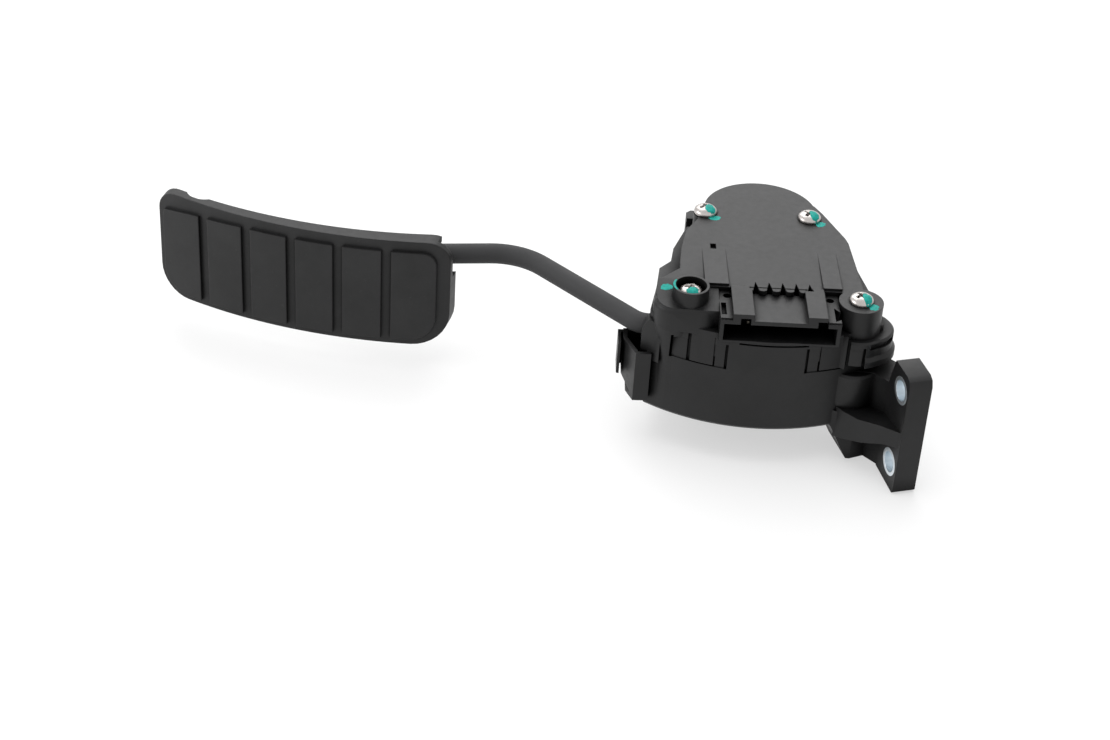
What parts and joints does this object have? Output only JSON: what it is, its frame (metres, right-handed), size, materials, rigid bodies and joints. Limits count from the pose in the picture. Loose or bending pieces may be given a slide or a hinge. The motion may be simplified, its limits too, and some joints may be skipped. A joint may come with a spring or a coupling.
{
  "type": "accelerator pedal",
  "caption": "Accelerator pedal: a ribbed foot pad on a bent steel rod, swinging in a moulded position sensor case with a side mounting flange and a connector socket.",
  "frame": {"origin": "on the flange's mounting face, midway between the two bolt sleeves", "axes": "+X leaves the mounting face, +Z runs along the pivot towards the sensor cover, +Y points away from the driver's foot"},
  "size_m": [0.2866, 0.1952, 0.0773],
  "materials": {
    "case_plastic": "moulded, fine grain",
    "lever_plastic": "moulded",
    "pad_plastic": "moulded, fine grain",
    "bush_plastic": "moulded",
    "magnet": "bonded magnet",
    "board": "solder mask",
    "chip": "moulded",
    "contact_metal": "tinned",
    "seal_rubber": "moulded",
    "stop_rubber": "moulded",
    "rod_coat": "satin black coating",
    "shaft_steel": "ground",
    "spring_steel": "oiled wire",
    "zinc": "zinc plated",
    "sleeve_zinc": "zinc plated"
  },
  "bodies": {
    "case": {"housing": "case_plastic", "cover": "case_plastic", "thrust_washer": "bush_plastic", "circuit_board": "board", "sensor_chips": "chip", "terminal_pins": "contact_metal", "cover_seal": "seal_rubber", "idle_stop": "stop_rubber", "end_stop": "stop_rubber", "pivot_shaft": "shaft_steel", "shaft_retainer": "shaft_steel", "wave_washer": "shaft_steel", "return_spring_outer": "spring_steel", "return_spring_inner": "spring_steel", "cover_screws": "zinc", "upper_sleeve": "sleeve_zinc", "lower_sleeve": "sleeve_zinc"},
    "pedal": {"lever": "lever_plastic", "upper_bush": "bush_plastic", "lower_bush": "bush_plastic", "rotor_magnet": "magnet", "pedal_rod": "rod_coat", "pedal_pad": "pad_plastic", "pad_pin": "shaft_steel"}
  },
  "joints": [
    {"name": "pedal_pivot", "type": "hinge", "parent": "case", "child": "pedal", "pos_m": [-0.037, 0.104, 0], "axis": [0, 0, -1], "range_deg": [0, 15], "stiffness_Nm_per_rad": 9.5, "springref_deg": -18.33, "deforming": ["return_spring_outer", "return_spring_inner"]}
  ]
}
